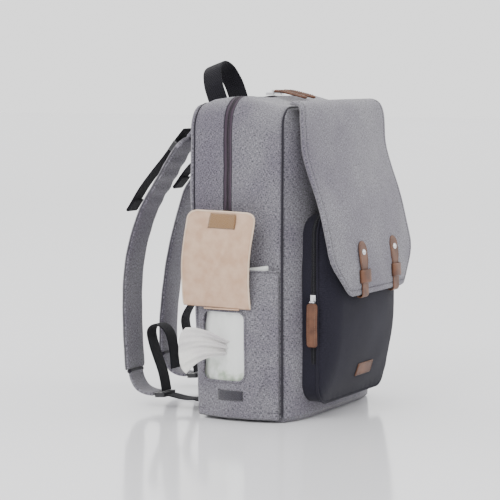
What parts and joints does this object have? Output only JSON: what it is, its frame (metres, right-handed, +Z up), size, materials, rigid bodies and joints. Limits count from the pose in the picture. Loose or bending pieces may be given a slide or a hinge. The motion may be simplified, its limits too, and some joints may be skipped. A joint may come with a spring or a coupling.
{
  "type": "backpack diaper bag",
  "caption": "Soft backpack diaper bag with a front flap, zipped mouth, front pocket, side wipes pocket, bottle pocket, carry handle and shoulder straps.",
  "frame": {"origin": "on the floor under the middle of the bag's body, at its base panel", "axes": "+Z up; the front with its flap faces -Y and the shoulder straps are at +Y; +X is the bottle pocket's side"},
  "size_m": [0.3426, 0.3718, 0.4584],
  "materials": {
    "grey_fabric": "melange canvas weave",
    "black_fabric": "plain weave, matte",
    "webbing": "ribbed webbing",
    "lining_fabric": "smooth nylon",
    "foam": "closed cell foam",
    "board": "stiffening sheet",
    "brown_leather": "grained, stitched edge",
    "beige_leather": "smooth leatherette",
    "hook_loop": "hook and loop tape",
    "zip": "zip tape and coil",
    "hardware": "satin nickel",
    "magnet": "nickel plated",
    "black_plastic": "moulded acetal",
    "wipe_pack": "printed film",
    "wipe": "non-woven wipe"
  },
  "bodies": {
    "bag": {"base_panel": "grey_fabric", "back_panel": "grey_fabric", "front_panel": "grey_fabric", "left_side_panel": "grey_fabric", "right_side_panel": "grey_fabric", "rear_top_gusset": "grey_fabric", "lining": "lining_fabric", "back_foam": "foam", "base_board": "board", "inner_pocket": "lining_fabric", "rear_zip_tape": "zip", "seam_piping": "black_fabric", "pocket_front_panel": "black_fabric", "pocket_gusset": "black_fabric", "pocket_zip_tape": "zip", "pocket_piping": "black_fabric", "pocket_snaps": "magnet", "pocket_label": "brown_leather", "wipes_pocket_panel": "grey_fabric", "window_binding": "beige_leather", "closure_patch": "hook_loop", "wipes_pack": "wipe_pack", "wipe_sheet": "wipe", "bottle_pocket": "grey_fabric", "bottle_pocket_elastic": "black_fabric", "handle_tabs": "webbing", "upper_strap_tabs": "grey_fabric", "lower_strap_tabs": "grey_fabric"},
    "mouth": {"mouth_front_panel": "grey_fabric", "mouth_side_panels": "grey_fabric", "mouth_top_gusset": "grey_fabric", "mouth_lining": "lining_fabric", "front_zip_tape": "zip", "flap_hem": "black_fabric"},
    "front_flap": {"front_flap": "grey_fabric", "flap_lining": "lining_fabric", "flap_leather": "brown_leather", "flap_studs": "hardware", "flap_snaps": "magnet"},
    "zip_slider_left": {"zip_slider_left": "hardware"},
    "zip_slider_right": {"zip_slider_right": "hardware"},
    "zip_pull_left": {"zip_pull_left": "brown_leather"},
    "zip_pull_right": {"zip_pull_right": "brown_leather"},
    "pocket_slider": {"pocket_slider": "hardware"},
    "pocket_pull": {"pocket_pull": "brown_leather"},
    "wipes_lid": {"wipes_lid": "beige_leather", "lid_patch": "hook_loop"},
    "carry_handle": {"carry_handle": "webbing"},
    "shoulder_strap_left": {"strap_pad_left": "grey_fabric", "strap_end_left": "grey_fabric", "ladder_lock_left": "black_plastic", "strap_webbing_left": "webbing", "lifter_webbing_left": "webbing", "lifter_buckle_left": "black_plastic"},
    "shoulder_strap_right": {"strap_pad_right": "grey_fabric", "strap_end_right": "grey_fabric", "ladder_lock_right": "black_plastic", "strap_webbing_right": "webbing", "lifter_webbing_right": "webbing", "lifter_buckle_right": "black_plastic"}
  },
  "joints": [
    {"name": "mouth_open", "type": "slide", "parent": "bag", "child": "mouth", "axis": [0, -1, 0], "range_m": [0, 0.045]},
    {"name": "flap_lift", "type": "hinge", "parent": "mouth", "child": "front_flap", "pos_m": [0, -0.07341, 0.40224], "axis": [-1, 0, 0], "range_deg": [0, 140]},
    {"name": "zip_slide_left", "type": "slide", "parent": "mouth", "child": "zip_slider_left", "axis": [-1, 0, 0], "range_m": [0, 0.078]},
    {"name": "zip_slide_right", "type": "slide", "parent": "mouth", "child": "zip_slider_right", "axis": [1, 0, 0], "range_m": [0, 0.078]},
    {"name": "zip_pull_swing_left", "type": "hinge", "parent": "zip_slider_left", "child": "zip_pull_left", "pos_m": [-0.013, 0.007, 0.4176], "axis": [-1, 0, 0], "range_deg": [0, 160]},
    {"name": "zip_pull_swing_right", "type": "hinge", "parent": "zip_slider_right", "child": "zip_pull_right", "pos_m": [0.013, 0.007, 0.4176], "axis": [-1, 0, 0], "range_deg": [0, 160]},
    {"name": "pocket_zip_slide", "type": "slide", "parent": "bag", "child": "pocket_slider", "axis": [0, 0, 1], "range_m": [-0.06, 0.06]},
    {"name": "pocket_pull_swing", "type": "hinge", "parent": "pocket_slider", "child": "pocket_pull", "pos_m": [-0.1106, -0.096, 0.153], "axis": [0, 1, 0], "range_deg": [0, 120]},
    {"name": "wipes_lid_close", "type": "hinge", "parent": "bag", "child": "wipes_lid", "pos_m": [-0.1492, 0.018, 0.143], "axis": [0, -1, 0], "range_deg": [0, 172], "deforming": ["wipe_sheet"]},
    {"name": "handle_swing", "type": "hinge", "parent": "bag", "child": "carry_handle", "pos_m": [0, 0.078, 0.3996], "axis": [1, 0, 0], "range_deg": [-55, 60], "stiffness_Nm_per_rad": 0.03},
    {"name": "strap_swing_left", "type": "hinge", "parent": "bag", "child": "shoulder_strap_left", "pos_m": [-0.084, 0.064, 0.014], "axis": [0, 0.0278, 0.9996], "range_deg": [-12, 12]},
    {"name": "strap_swing_right", "type": "hinge", "parent": "bag", "child": "shoulder_strap_right", "pos_m": [0.084, 0.064, 0.014], "axis": [0, 0.0278, 0.9996], "range_deg": [-12, 12]}
  ]
}
